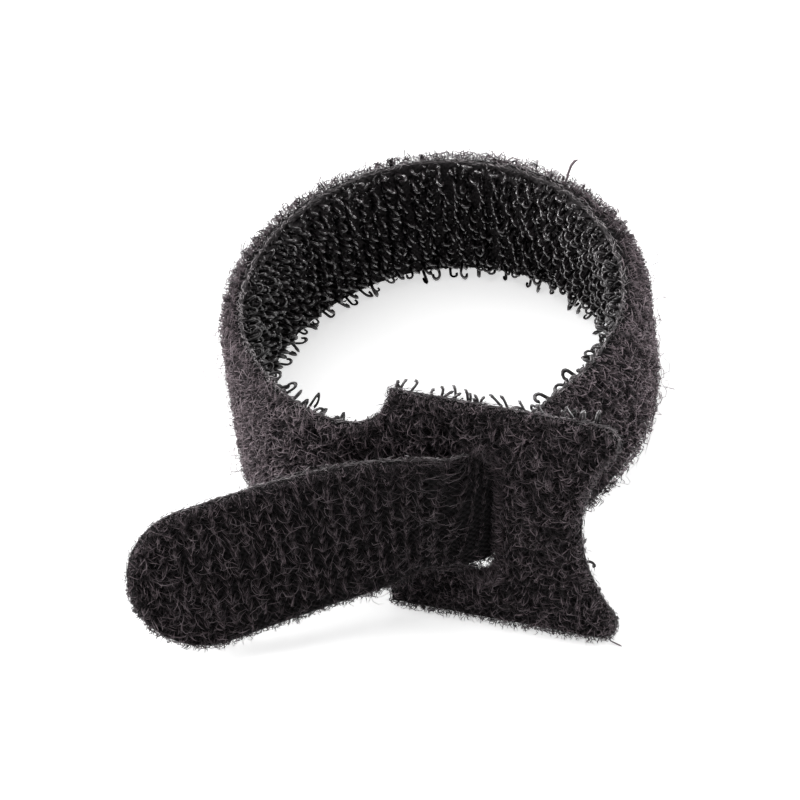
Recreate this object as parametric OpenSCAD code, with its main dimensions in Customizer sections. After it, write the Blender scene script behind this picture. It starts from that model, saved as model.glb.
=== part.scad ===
// Reusable hook-and-loop cable tie, closed into a loop with its tail drawn out through the slot.
// One die-cut blank: a fishtail head with a slot, then a plain strap that ends in a round tail.
// It rests on its edge. X runs to the right, Y to the back, and Z is up. The origin is on the ground under the
// middle of the whole tie.

/* [Strap] */
// Width of the strap
strap_w = 12.7; // [9:0.1:16]
// Thickness of hooks, ground cloth and pile together
strap_t = 1.5; // [1.2:0.1:2]

/* [Loop] */
// Radius of the closed loop, to the middle of the strap's thickness
loop_r = 16.1; // [14.5:0.1:24]
// Lean of the whole loop towards the back
loop_tilt = 2.3; // [0:0.1:5]
// Bearing where the head's heel runs into the true round of the loop
loop_start = 172; // [150:1:190]
// Bearing where the strap leaves the true round for the slot
loop_end = -5; // [-15:1:20]

/* [Head] */
// Length of the head from the ear tips to its shoulders
head_l = 19.3; // [18:0.1:24]
// How far each shoulder stands out beyond the strap's edge
shoulder = 4; // [2.5:0.1:6]
// Depth of the fishtail notch
notch_depth = 3.1; // [2:0.1:5]
// Radius of each round ear tip
ear_r = 1.6; // [1:0.1:2]
// Bearing that the head points along, from its ears to the strap
head_bearing = 155.6; // [150:0.1:162]
// Lean of the head away from the viewer
head_lean = 16; // [5:0.5:25]

/* [Slot] */
// Distance from the ear tips to the middle of the slot
slot_from_ears = 11.7; // [10.5:0.1:13]
// How much shorter the slot is than the strap is wide
slot_short = 0.3; // [0:0.1:0.5]
// Free space over each face of the strap in the slot
slot_gap = 0.4; // [0.4:0.1:0.8]
// Radius of the slot's corners
slot_corner = 0.9; // [0.2:0.1:0.9]
// How far the strap's lower edge is drawn up where it passes through the slot
slot_gather = 2; // [0:0.1:2.2]
// How far the slot lies outside the round of the loop
slot_outside = 4.6; // [3.5:0.1:7]
// Bearing of the slot from the loop's centre
slot_bearing = -87.2; // [-92:0.1:-80]

/* [Tail] */
// Length of the tail beyond the slot
tail_l = 30; // [22:0.5:40]
// Bearing of the tail's free end
tail_bearing = 184; // [176:0.5:190]
// Droop of the tail's free end
tail_droop = 12; // [4:0.5:13]
// Lean of the tail's free end away from the viewer
tail_lean = 22.5; // [5:0.5:30]

/* [Hidden] */

head_w = strap_w + 2 * shoulder;
flare_l = shoulder;
plate_l = head_l + flare_l;

// Points round the head's outline
arc_steps = 10;
// Sections along each bent stretch of the strap
bend_steps = 12;
tail_steps = 20;

// Bent stretches are let into the head and the loop by this length, and are this much smaller all round.
// Their curves begin this far outside, so that no section lies in the face it passes through.
joint_l = 0.6;
joint_out = 0.15;
joint_step = 0.02;

// The strap crosses the head's plate at this angle inside the slot, climbing a little and leaning back
cross_angle = 56;
cross_climb = 9;
cross_lean = 10;
slot_w = strap_t / sin(cross_angle) + strap_t / tan(cross_angle) + 2 * slot_gap;
slot_l = strap_w - slot_short;

// The strap's upper edge is drawn down this much in the slot, just clear of the slot's end
top_gather = slot_short / 2 + 0.2;

// The tail lies along the front of the head before it bends away
tail_exit_bearing = head_bearing + 7.5;
tail_exit_droop = 4;
tail_exit_lean = head_lean - 4;
tail_exit_ahead = 3;
tail_gap = 0.3;
tail_off = strap_t + tail_gap + strap_w / 2 * sin(head_lean - tail_exit_lean);

// Handles of the curves, as shares of the distance they span
heel_pull = 0.3;
run_pull = 0.34;
slot_pull = 0.4;
tail_straight = 5.5;
tail_pull = 0.35;

// Shares of the run-in and of the tail between which the strap is gathered
gather_start = 0.6;
gather_end = 0.4;
trim_margin = 2;

// The lower rim touches the ground at the back of the loop, and the head stands on its lower edge
loop_h = (loop_r + strap_t / 2) * sin(loop_tilt) + strap_w / 2 * cos(loop_tilt);
slot_h = head_w / 2 * cos(head_lean) + strap_t / 2 * sin(head_lean);
slot_far = loop_r + slot_outside;
slot_c = [slot_far * cos(slot_bearing), slot_far * sin(slot_bearing), slot_h];

// Direction of travel from a bearing and a climb
function heading(bearing, climb) =
    [cos(bearing) * cos(climb), sin(bearing) * cos(climb), sin(climb)];

// Direction across the strap, upwards, for a bearing, a climb and a lean towards the loop's inside
function across(bearing, climb, lean) = [
    sin(lean) * sin(bearing) - sin(climb) * cos(lean) * cos(bearing),
    -sin(lean) * cos(bearing) - sin(climb) * cos(lean) * sin(bearing),
    cos(climb) * cos(lean)
];

function bearing_of(v) = atan2(v[1], v[0]);
function climb_of(v) = asin(v[2] / norm(v));
function unit(v) = v / norm(v);
function mix(a, b, k) = a * (1 - k) + b * k;
function ease(k) = k * k * (3 - 2 * k);

// Place and direction on the round of the loop, which is travelled clockwise seen from above
function loop_point(a) = [
    loop_r * cos(a),
    loop_r * sin(a) * cos(loop_tilt),
    loop_h - loop_r * sin(a) * sin(loop_tilt)
];
function loop_heading(a) = [sin(a), -cos(a) * cos(loop_tilt), cos(a) * sin(loop_tilt)];
function loop_lean(a) = asin(-cos(bearing_of(loop_heading(a))) * sin(loop_tilt));
in_a = joint_l / loop_r * 180 / PI;
out_a = joint_out / loop_r * 180 / PI;
function loop_section(a) = section(loop_point(a), loop_heading(a), loop_lean(a));

// Curve from one place and direction to another, and its direction, at a share k of the way
function curve_point(p, k) =
    p[0] * pow(1 - k, 3) + p[1] * 3 * k * pow(1 - k, 2) + p[2] * 3 * k * k * (1 - k) + p[3] * pow(k, 3);
function curve_heading(p, k) =
    unit((p[1] - p[0]) * pow(1 - k, 2) + (p[2] - p[1]) * 2 * k * (1 - k) + (p[3] - p[2]) * k * k);
function curve(a, a_dir, b, b_dir, pull) =
    [a, a + a_dir * norm(b - a) * pull, b - b_dir * norm(b - a) * pull, b];

// One section of the strap: its four corners, lower outer, upper outer, upper inner, lower inner.
// gather is how much of the slot's hold on its width it has, from 0 to 1.
function section(c, dir, lean, gather = 0) =
    let (
        up = across(bearing_of(dir), climb_of(dir), lean),
        low = up * (strap_w / 2 - joint_step - slot_gather * gather),
        high = up * (strap_w / 2 - joint_step - top_gather * gather),
        inside = unit(cross(dir, up)) * (strap_t / 2 - joint_step)
    )
    [c - low - inside, c + high - inside, c + high + inside, c - low + inside];

// Gather at a share k of the way: none before one share, full after the other
function gather_at(k, none, full) = ease(min(1, max(0, (k - none) / (full - none))));

// By default a stretch would start to gather only past its end
function sections(p, lean_a, lean_b, steps, none = 1, full = 2) = [
    for (i = [0:steps])
        section(
            curve_point(p, i / steps),
            curve_heading(p, i / steps),
            mix(lean_a, lean_b, ease(i / steps)),
            gather_at(i / steps, none, full)
        )
];

// A length of strap through a row of sections
module strap_length(rows) {
    last = len(rows) - 1;
    polyhedron(
        points = [for (row = rows) for (corner = row) corner],
        faces = concat(
            [[0, 1, 2], [0, 2, 3]],
            [[2, 1, 0] + last * [4, 4, 4], [3, 2, 0] + last * [4, 4, 4]],
            [for (i = [0:last - 1]) for (j = [0:3])
                [i * 4 + j, i * 4 + j + 4, i * 4 + (j + 1) % 4 + 4]],
            [for (i = [0:last - 1]) for (j = [0:3])
                [i * 4 + j, i * 4 + (j + 1) % 4 + 4, i * 4 + (j + 1) % 4]]
        )
    );
}

function arc(c, r, from, to) =
    [for (i = [0:arc_steps]) c + r * [cos(mix(from, to, i / arc_steps)), sin(mix(from, to, i / arc_steps))]];

// The notch is one round that runs smoothly into both ear tips
ear_y = head_w / 2 - ear_r;
notch_r = (pow(ear_y, 2) + pow(notch_depth, 2) - 2 * ear_r * notch_depth) / (2 * notch_depth);
notch_a = atan2(ear_y, notch_r + ear_r - notch_depth);

// Flat outline of the head: ear tips at x = 0, strap edge to edge at x = plate_l
module head_outline() {
    difference() {
        polygon(concat(
            arc([ear_r, ear_y], ear_r, 90, 180 + notch_a),
            arc([notch_depth - notch_r, 0], notch_r, notch_a, -notch_a),
            arc([ear_r, -ear_y], ear_r, 180 - notch_a, 270),
            arc([plate_l, -head_w / 2], shoulder, 180, 90),
            arc([plate_l, head_w / 2], shoulder, 270, 180)
        ));
        translate([slot_from_ears, 0]) slot_outline();
    }
}

module slot_outline() {
    square([slot_w, slot_l - 2 * slot_corner], center = true);
    square([slot_w - 2 * slot_corner, slot_l], center = true);
    for (x = [-1, 1]) {
        for (y = [-1, 1]) {
            translate([x * (slot_w / 2 - slot_corner), y * (slot_l / 2 - slot_corner)])
                circle(slot_corner, $fn = 24);
        }
    }
}

module head() {
    translate(slot_c)
        rotate([0, 0, head_bearing])
            rotate([90 + head_lean, 0, 0])
                translate([-slot_from_ears, 0, -strap_t / 2])
                    linear_extrude(strap_t) head_outline();
}

// The true round of the loop
module loop_round() {
    translate([0, 0, loop_h])
        rotate([-loop_tilt, 0, 0])
            rotate([0, 0, loop_end])
                rotate_extrude(angle = loop_start - loop_end, $fn = 180)
                    translate([loop_r - strap_t / 2, -strap_w / 2])
                        square([strap_t, strap_w]);
}

// Heel: from the end of the head into the round
head_dir = heading(head_bearing, 0);
heel_from = slot_c + head_dir * (plate_l - slot_from_ears + joint_out);
heel_to = loop_start + out_a;
heel_curve = curve(heel_from, head_dir, loop_point(heel_to), loop_heading(heel_to), heel_pull);
module heel() {
    strap_length(concat(
        [section(heel_from - head_dir * joint_l, head_dir, head_lean)],
        sections(heel_curve, head_lean, loop_lean(heel_to), bend_steps),
        [loop_section(loop_start - in_a)]
    ));
}

// Run-in: from the round to the slot, through it, and on to the front of the head
cross_bearing = head_bearing + cross_angle - 360;
cross_dir = heading(cross_bearing, cross_climb);
run_from = loop_end - out_a;
run_curve = curve(loop_point(run_from), loop_heading(run_from), slot_c, cross_dir, run_pull);
head_inside = cross(head_dir, across(head_bearing, 0, head_lean));
exit_c = slot_c + head_dir * tail_exit_ahead - head_inside * tail_off;
exit_dir = heading(tail_exit_bearing, -tail_exit_droop);
slot_curve = curve(slot_c, cross_dir, exit_c, exit_dir, slot_pull);

// Tail: from the front of the head to its round end
tail_dir = heading(tail_bearing, -tail_droop);
tail_bend = exit_c + exit_dir * tail_straight;
tail_rest = tail_l - tail_straight - norm(exit_c - slot_c);
tail_curve = [exit_c, tail_bend, tail_bend + tail_dir * tail_rest * tail_pull, tail_bend + tail_dir * tail_rest];

module run_and_tail() {
    run = sections(run_curve, loop_lean(run_from), cross_lean, bend_steps, gather_start, 1);
    through = sections(slot_curve, cross_lean, tail_exit_lean, bend_steps / 2, -1, 0);
    tail = sections(tail_curve, tail_exit_lean, tail_lean, tail_steps, gather_end, 0);
    strap_length(concat(
        [loop_section(loop_end + in_a)],
        run,
        [for (i = [1:len(through) - 1]) through[i]],
        [for (i = [1:len(tail) - 1]) tail[i]],
        [section(tail_curve[3] + tail_dir * trim_margin / 2, tail_dir, tail_lean)]
    ));
}

// What is cut away round the tail's end
module tail_trim() {
    translate(tail_curve[3] - tail_dir * strap_w / 2)
        rotate([0, 0, tail_bearing])
            rotate([0, tail_droop, 0])
                rotate([90 + tail_lean, 0, 0])
                    linear_extrude(strap_t + trim_margin, center = true)
                        trim_outline();
}

module trim_outline() {
    difference() {
        translate([0, -strap_w / 2 - trim_margin])
            square([strap_w / 2 + trim_margin, strap_w + 2 * trim_margin]);
        circle(strap_w / 2, $fn = 96);
    }
}

// The middle of the whole tie seen from above: the tail's tip, the loop's right and back, and the lower ear
tip_c = tail_curve[3] - tail_dir * strap_w / 2;
tip_n = cross(tail_dir, across(tail_bearing, -tail_droop, tail_lean));
left_x = tip_c[0] - strap_w / 2 * sqrt(1 - pow(tip_n[0], 2)) - strap_t / 2 * abs(tip_n[0]);
right_x = loop_r + strap_t / 2;
ear_c = slot_c - head_dir * (slot_from_ears - ear_r) - across(head_bearing, 0, head_lean) * ear_y;
front_y = ear_c[1] - ear_r * sqrt(1 - pow(head_inside[1], 2)) - strap_t / 2 * abs(head_inside[1]);
back_y = (loop_r + strap_t / 2) * cos(loop_tilt) + strap_w / 2 * sin(loop_tilt);

module strap() {
    color("#2c2a2d") {
        translate([-(left_x + right_x) / 2, -(front_y + back_y) / 2, 0]) {
            head();
            heel();
            loop_round();
            difference() {
                run_and_tail();
                tail_trim();
            }
        }
    }
}

strap();
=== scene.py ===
"""Dresses the cable tie: ground tape, brushed pile, cut hooks, edge threads and a few loose ones."""

import math

import bpy
import numpy as np
from bpy.props import FloatProperty, FloatVectorProperty, IntProperty, PointerProperty
from mathutils import Matrix, Vector
from mathutils.geometry import delaunay_2d_cdt


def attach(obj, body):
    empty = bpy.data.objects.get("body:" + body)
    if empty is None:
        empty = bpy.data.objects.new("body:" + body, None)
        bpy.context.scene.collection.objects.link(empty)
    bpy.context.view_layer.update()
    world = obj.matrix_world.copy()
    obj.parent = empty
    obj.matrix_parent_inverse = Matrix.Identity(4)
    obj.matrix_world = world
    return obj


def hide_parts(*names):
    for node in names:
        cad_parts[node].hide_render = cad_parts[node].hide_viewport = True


bl_info = {
    "name": "Cable Tie",
    "version": (1, 0, 0),
    "blender": (4, 5, 0),
    "location": "View3D > Sidebar > Cable Tie",
    "description": "Builds the fabric, pile and hooks of a reusable cable tie",
    "category": "Object",
}

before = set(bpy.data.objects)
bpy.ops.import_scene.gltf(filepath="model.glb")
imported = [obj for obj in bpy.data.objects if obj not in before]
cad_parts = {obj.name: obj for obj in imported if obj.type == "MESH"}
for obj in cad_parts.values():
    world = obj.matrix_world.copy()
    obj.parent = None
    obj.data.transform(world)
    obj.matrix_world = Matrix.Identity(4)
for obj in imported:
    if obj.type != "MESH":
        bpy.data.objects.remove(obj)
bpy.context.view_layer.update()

MM = 0.001
rad = np.radians

# The tie's cut and bend in millimetres and degrees, as in the part's source. Only the strap's lower edge is
# gathered a little less in the slot than there, because pile fills the rest.
STRAP_W = 12.7
STRAP_T = 1.5
LOOP_R = 16.1
LOOP_TILT = 2.3
LOOP_START = 172.0
LOOP_END = -5.0
HEAD_L = 19.3
SHOULDER = 4.0
NOTCH_DEPTH = 3.1
EAR_R = 1.6
HEAD_BEARING = 155.6
HEAD_LEAN = 16.0
SLOT_FROM_EARS = 11.7
SLOT_SHORT = 0.3
SLOT_GAP = 0.4
SLOT_CORNER = 0.9
SLOT_GATHER = 1.75
SLOT_OUTSIDE = 4.6
SLOT_BEARING = -87.2
TAIL_L = 30.0
TAIL_BEARING = 184.0
TAIL_DROOP = 12.0
TAIL_LEAN = 22.5
CROSS_ANGLE = 56.0
CROSS_CLIMB = 9.0
CROSS_LEAN = 10.0
TAIL_EXIT_BEARING = HEAD_BEARING + 7.5
TAIL_EXIT_DROOP = 4.0
TAIL_EXIT_LEAN = HEAD_LEAN - 4
TAIL_EXIT_AHEAD = 3.0
TAIL_GAP = 0.3
HEEL_PULL = 0.3
RUN_PULL = 0.34
SLOT_PULL = 0.4
TAIL_STRAIGHT = 5.5
TAIL_PULL = 0.35
JOINT_OUT = 0.15
GATHER_START = 0.6
GATHER_END = 0.4

HALF_W, HALF_T = STRAP_W / 2, STRAP_T / 2
SIN_TILT, COS_TILT = math.sin(rad(LOOP_TILT)), math.cos(rad(LOOP_TILT))
LOOP_H = (LOOP_R + HALF_T) * SIN_TILT + HALF_W * COS_TILT
HEAD_W = STRAP_W + 2 * SHOULDER
HEAD_HALF = HEAD_W / 2
PLATE_L = HEAD_L + SHOULDER
CROSS = rad(CROSS_ANGLE)
SLOT_W = STRAP_T / math.sin(CROSS) + STRAP_T / math.tan(CROSS) + 2 * SLOT_GAP
SLOT_L = STRAP_W - SLOT_SHORT
TOP_GATHER = SLOT_SHORT / 2 + 0.2
EAR_Y = HEAD_HALF - EAR_R
NOTCH_R = (EAR_Y**2 + NOTCH_DEPTH**2 - 2 * EAR_R * NOTCH_DEPTH) / (2 * NOTCH_DEPTH)
NOTCH_A = math.degrees(math.atan2(EAR_Y, NOTCH_R + EAR_R - NOTCH_DEPTH))

# Section of the tape about its middle: the pile's bed outside, the hooks' ground inside
BED_Z = 0.68
BED_LOOP_Z = 0.95
BED_ROUND = 0.7
GROUND_Z = -0.3
SEAM = 0.25
TAPE_STEP = 0.42

# Threads that would reach under the tie lie this high on the floor instead
FLOOR_REST = 0.07

# Share of a thread's width at each of its points
HAIR = (0.5, 1, 0.9, 0.3)
LONG_HAIR = (0.5, 1, 0.9, 0.7, 0.3)
CUT_THREAD = (0.5, 1, 1, 0.5)

# The photo's camera, in millimetres and degrees, with its focal length in pixels of the photo's width
CAMERA_AIM = (-4.01, -3.99, 6.35)
CAMERA_AWAY = 507
CAMERA_DOWN = 48.3
CAMERA_ROLL = -8.74
FOCAL_PIXELS = 11.99 * CAMERA_AWAY
PHOTO_PIXELS = 800
SENSOR = 36

LIGHTS = (
    ("top softbox", (-0.06, 0.12, 0.45), (0, 0, 0), (0.32, 0.32), 1.3),
    ("left softbox", (-0.42, 0.05, 0.15), (0, 0, 0.01), (0.26, 0.24), 2.2),
    ("right softbox", (0.42, 0.03, 0.15), (0, 0, 0.01), (0.26, 0.24), 1.9),
    ("back softbox", (0.0, 0.45, 0.20), (0, 0, 0.01), (0.40, 0.24), 1.0),
)


def unit(v):
    v = np.asarray(v, float)
    return v / np.linalg.norm(v, axis=-1, keepdims=True)


def heading(bearing, climb):
    """Direction of travel from a bearing and a climb."""
    b, c = rad(bearing), rad(climb)
    return np.stack([np.cos(b) * np.cos(c), np.sin(b) * np.cos(c), np.sin(c)], -1)


def across(bearing, climb, lean):
    """Direction across the strap, upwards, for a bearing, a climb and a lean towards the loop's inside."""
    b, c, n = rad(bearing), rad(climb), rad(lean)
    x = np.sin(n) * np.sin(b) - np.sin(c) * np.cos(n) * np.cos(b)
    y = -np.sin(n) * np.cos(b) - np.sin(c) * np.cos(n) * np.sin(b)
    return np.stack([x, y, np.cos(c) * np.cos(n)], -1)


def bearing_of(v):
    return np.degrees(np.arctan2(v[..., 1], v[..., 0]))


def climb_of(v):
    return np.degrees(np.arcsin(v[..., 2] / np.linalg.norm(v, axis=-1)))


def eased(a, b, k):
    """From a to b, starting and ending gently."""
    return a + (b - a) * (k * k * (3 - 2 * k))


def gather_at(k, none, full):
    """The slot's hold on the strap's width: none before one share of the way, all after the other."""
    return eased(0.0, 1.0, np.clip((k - none) / (full - none), 0, 1))


def curve_between(a, a_dir, b, b_dir, pull):
    reach = np.linalg.norm(b - a) * pull
    return np.array([a, a + a_dir * reach, b - b_dir * reach, b])


def along_curve(p, k):
    """Points and headings along a curve of four control points."""
    k = k[:, None]
    j = 1 - k
    points = p[0] * j**3 + p[1] * 3 * k * j**2 + p[2] * 3 * k * k * j + p[3] * k**3
    return points, unit((p[1] - p[0]) * j**2 + (p[2] - p[1]) * 2 * k * j + (p[3] - p[2]) * k * k)


def loop_point(a):
    a = rad(a)
    y = LOOP_R * np.sin(a)
    return np.stack([LOOP_R * np.cos(a), y * COS_TILT, LOOP_H - y * SIN_TILT], -1)


def loop_heading(a):
    a = rad(a)
    return np.stack([np.sin(a), -np.cos(a) * COS_TILT, np.cos(a) * SIN_TILT], -1)


def loop_lean(a):
    return np.degrees(np.arcsin(-np.cos(rad(bearing_of(loop_heading(a)))) * SIN_TILT))


class StrapRoute:
    """Where the strap's middle runs, from the ear tips to the tail's tip, and how it faces there."""

    def __init__(self):
        lean, bearing = rad(HEAD_LEAN), rad(SLOT_BEARING)
        slot_far = LOOP_R + SLOT_OUTSIDE
        slot_h = HEAD_HALF * math.cos(lean) + HALF_T * math.sin(lean)
        slot_c = np.array([slot_far * math.cos(bearing), slot_far * math.sin(bearing), slot_h])
        head_dir = heading(HEAD_BEARING, 0.0)
        head_up = across(HEAD_BEARING, 0.0, HEAD_LEAN)
        head_inside = np.cross(head_dir, head_up)
        out_a = math.degrees(JOINT_OUT / LOOP_R)
        heel_to, run_from = LOOP_START + out_a, LOOP_END - out_a
        heel_from = slot_c + head_dir * (PLATE_L - SLOT_FROM_EARS + JOINT_OUT)
        heel = curve_between(heel_from, head_dir, loop_point(heel_to), loop_heading(heel_to), HEEL_PULL)
        cross_dir = heading(HEAD_BEARING + CROSS_ANGLE - 360, CROSS_CLIMB)
        run = curve_between(loop_point(run_from), loop_heading(run_from), slot_c, cross_dir, RUN_PULL)
        tail_off = STRAP_T + TAIL_GAP + HALF_W * math.sin(rad(HEAD_LEAN - TAIL_EXIT_LEAN))
        exit_c = slot_c + head_dir * TAIL_EXIT_AHEAD - head_inside * tail_off
        exit_dir = heading(TAIL_EXIT_BEARING, -TAIL_EXIT_DROOP)
        through = curve_between(slot_c, cross_dir, exit_c, exit_dir, SLOT_PULL)
        tail_dir = heading(TAIL_BEARING, -TAIL_DROOP)
        bend = exit_c + exit_dir * TAIL_STRAIGHT
        rest = TAIL_L - TAIL_STRAIGHT - np.linalg.norm(exit_c - slot_c)
        tail = np.array([exit_c, bend, bend + tail_dir * rest * TAIL_PULL, bend + tail_dir * rest])

        x = np.linspace(0, PLATE_L, 200)[:, None]
        a = np.linspace(heel_to, run_from, 500)[1:-1]
        k = np.linspace(0, 1, 240)
        later = k[1:]
        hold, release = gather_at(k, GATHER_START, 1), gather_at(later, GATHER_END, 0)
        names, points, dirs, leans, gathers = zip(
            ("head", slot_c + head_dir * (x - SLOT_FROM_EARS), head_dir + 0 * x, HEAD_LEAN, 0.0),
            ("heel", *along_curve(heel, k), eased(HEAD_LEAN, loop_lean(heel_to), k), 0.0),
            ("loop", loop_point(a), loop_heading(a), loop_lean(a), 0.0),
            ("run", *along_curve(run, k), eased(loop_lean(run_from), CROSS_LEAN, k), hold),
            ("through", *along_curve(through, later), eased(CROSS_LEAN, TAIL_EXIT_LEAN, later), 1.0),
            ("tail", *along_curve(tail, later), eased(TAIL_EXIT_LEAN, TAIL_LEAN, later), release),
        )
        counts = [len(p) for p in points]
        self.p, self.t = np.concatenate(points), np.concatenate(dirs)
        leans = np.concatenate([value * np.ones(n) for value, n in zip(leans, counts)])
        self.gather = np.concatenate([value * np.ones(n) for value, n in zip(gathers, counts)])
        self.w = across(bearing_of(self.t), climb_of(self.t), leans)
        self.d = unit(np.cross(self.t, self.w))
        steps = np.linalg.norm(np.diff(self.p, axis=0), axis=1)
        self.s = np.concatenate([[0], np.cumsum(np.maximum(steps, 1e-6))])
        self.length = self.s[-1]
        self.mark = {name: float(self.s[i]) for name, i in zip(names, np.cumsum([0, *counts]))}

        # The tie is centred on the origin as the part's source centres it
        tip_c = tail[3] - tail_dir * HALF_W
        tip_n = np.cross(tail_dir, across(TAIL_BEARING, -TAIL_DROOP, TAIL_LEAN))
        left_x = tip_c[0] - HALF_W * math.sqrt(1 - tip_n[0] ** 2) - HALF_T * abs(tip_n[0])
        right_x = LOOP_R + HALF_T
        ear_c = slot_c - head_dir * (SLOT_FROM_EARS - EAR_R) - head_up * EAR_Y
        front_y = ear_c[1] - EAR_R * math.sqrt(1 - head_inside[1] ** 2) - HALF_T * abs(head_inside[1])
        back_y = (LOOP_R + HALF_T) * COS_TILT + HALF_W * SIN_TILT
        self.shift = np.array([-(left_x + right_x) / 2, -(front_y + back_y) / 2, 0.0])
        self.p = self.p + self.shift

    def sample(self, rows, u):
        return np.stack([np.interp(u, self.s, rows[:, i]) for i in range(3)], -1)

    def place(self, u, v, z):
        """Flat cut to bent tie: u along from the ear tips, v across, z out of the pile side."""
        u, v, z = np.broadcast_arrays(u, v, z)
        on = np.clip(u, 0, self.length)
        p = self.sample(self.p, on) + unit(self.sample(self.t, on)) * (u - on)[..., None]
        w = unit(self.sample(self.w, on))
        d = unit(self.sample(self.d, on))
        gather = np.interp(on, self.s, self.gather) / HALF_W
        v = v * (1 - gather * np.where(v < 0, SLOT_GATHER, TOP_GATHER))
        return p + w * v[..., None] - d * z[..., None]

    def outward(self, u):
        return -unit(self.sample(self.d, np.clip(u, 0, self.length)))


ROUTE = StrapRoute()
MARK = ROUTE.mark
TIP_U = ROUTE.length - HALF_W


def on_loop(u):
    return (u > PLATE_L + 3) & (u < MARK["run"] + 6)


def on_flat(u):
    """Which places lie on the head or the tail, where the pile is worn short."""
    return (u < PLATE_L) | (u > MARK["tail"])


def slot_distance(u, v):
    """How far a place on the flat head lies outside the slot."""
    return np.maximum(np.abs(u - SLOT_FROM_EARS) - SLOT_W / 2, np.abs(v) - SLOT_L / 2)


def edge_distance(u, v):
    """How far a place on the flat cut lies inside its outline and outside the slot."""
    av = np.abs(v)
    d = np.where(u < PLATE_L, HEAD_HALF, HALF_W) - av
    flare = np.hypot(u - PLATE_L, av - HEAD_HALF) - SHOULDER
    d = np.where((u > HEAD_L) & (u < PLATE_L), np.minimum(d, flare), d)
    d = np.where(u > TIP_U, HALF_W - np.hypot(u - TIP_U, v), d)
    notch = np.hypot(u - (NOTCH_DEPTH - NOTCH_R), v) - NOTCH_R
    ear = EAR_R - np.hypot(u - EAR_R, av - EAR_Y)
    end = np.where((u < EAR_R) & (av > EAR_Y), ear, np.maximum(notch, ear))
    d = np.where(u < NOTCH_DEPTH + 3, np.minimum(d, end), d)
    return np.where(u < PLATE_L, np.minimum(d, slot_distance(u, v)), d)


def walk_arcs(arcs, step):
    """Even steps round a closed outline of arcs, each a centre, a radius and its two angles."""
    points = []
    for cx, cy, r, a, b in arcs:
        n = max(3, int(math.ceil(abs(rad(b - a)) * r / (step / 4))) + 1)
        t = rad(np.linspace(a, b, n))
        points.append(np.stack([cx + r * np.cos(t), cy + r * np.sin(t)], -1))
    p = np.concatenate([*points, points[0][:1]])
    s = np.concatenate([[0], np.cumsum(np.linalg.norm(np.diff(p, axis=0), axis=1))])
    t = np.linspace(0, s[-1], int(s[-1] / step), endpoint=False)
    return np.stack([np.interp(t, s, p[:, i]) for i in range(2)], -1)


def blank_outline(step):
    arcs = (
        (EAR_R, EAR_Y, EAR_R, 90, 180 + NOTCH_A),
        (NOTCH_DEPTH - NOTCH_R, 0, NOTCH_R, NOTCH_A, -NOTCH_A),
        (EAR_R, -EAR_Y, EAR_R, 180 - NOTCH_A, 270),
        (PLATE_L, -HEAD_HALF, SHOULDER, 180, 90),
        (TIP_U, 0, HALF_W, -90, 90),
        (PLATE_L, HEAD_HALF, SHOULDER, 270, 180),
    )
    return walk_arcs(arcs, step)


def slot_outline(step):
    x, y = SLOT_W / 2 - SLOT_CORNER, SLOT_L / 2 - SLOT_CORNER
    corners = ((1, 1, 0), (-1, 1, 90), (-1, -1, 180), (1, -1, 270))
    return walk_arcs([(SLOT_FROM_EARS + i * x, j * y, SLOT_CORNER, a, a + 90) for i, j, a in corners], step)


def add_node(tree, kind, inputs=(), **settings):
    """A shader node; each input is given a value or joined to another node's output."""
    node = tree.nodes.new("ShaderNode" + kind)
    for name, value in settings.items():
        setattr(node, name, value)
    for name, value in dict(inputs).items():
        if isinstance(value, bpy.types.NodeSocket):
            tree.links.new(value, node.inputs[name])
        else:
            node.inputs[name].default_value = value
    return node.outputs


def add_maths(tree, operation, *values):
    return add_node(tree, "Math", dict(enumerate(values)), operation=operation)[0]


def add_mix(tree, factor, a, b):
    return add_node(tree, "Mix", {"Factor": factor, "A": a, "B": b}, data_type="RGBA")["Result"]


def add_range(tree, value, low, high, start=0.0, end=1.0):
    ends = {"From Min": start, "From Max": end, "To Min": low, "To Max": high}
    return add_node(tree, "MapRange", {"Value": value, **ends})["Result"]


def start_group(name, values):
    """A node group with an input for each value, where a tuple is a colour."""
    tree = bpy.data.node_groups.new(name, "ShaderNodeTree")
    for label, value in values.items():
        kind = "NodeSocketColor" if isinstance(value, tuple) else "NodeSocketFloat"
        tree.interface.new_socket(label, in_out="INPUT", socket_type=kind).default_value = value
    return tree, tree.nodes.new("NodeGroupInput").outputs


def finish_group(tree, results):
    for label in results:
        kind = "NodeSocketColor" if label == "Color" else "NodeSocketFloat"
        tree.interface.new_socket(label, in_out="OUTPUT", socket_type=kind)
    sink = tree.nodes.new("NodeGroupOutput")
    for label, result in results.items():
        tree.links.new(result, sink.inputs[label])
    return tree


def fibre_tint_group():
    """Colour of a fibre from the shade that its mesh carries, with a slow drift over the tie."""
    if "Fibre Tint" in bpy.data.node_groups:
        return bpy.data.node_groups["Fibre Tint"]
    colours = {"Deep": (0.01, 0.009, 0.01, 1), "Light": (0.1, 0.095, 0.1, 1)}
    tree, source = start_group("Fibre Tint", {**colours, "Drift Scale": 120.0})
    shade = add_node(tree, "Attribute", attribute_name="shade")["Fac"]
    place = add_node(tree, "TexCoord")["Object"]
    drift = add_node(tree, "TexNoise", {"Vector": place, "Scale": source["Drift Scale"], "Detail": 3.0})
    tint = add_maths(tree, "MULTIPLY", shade, add_range(tree, drift["Fac"], 0.72, 1.28))
    colour = add_mix(tree, tint, source["Deep"], source["Light"])
    roughness = add_range(tree, shade, 0.62, 0.48)
    return finish_group(tree, {"Color": colour, "Roughness": roughness, "Gloss": shade})


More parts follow.
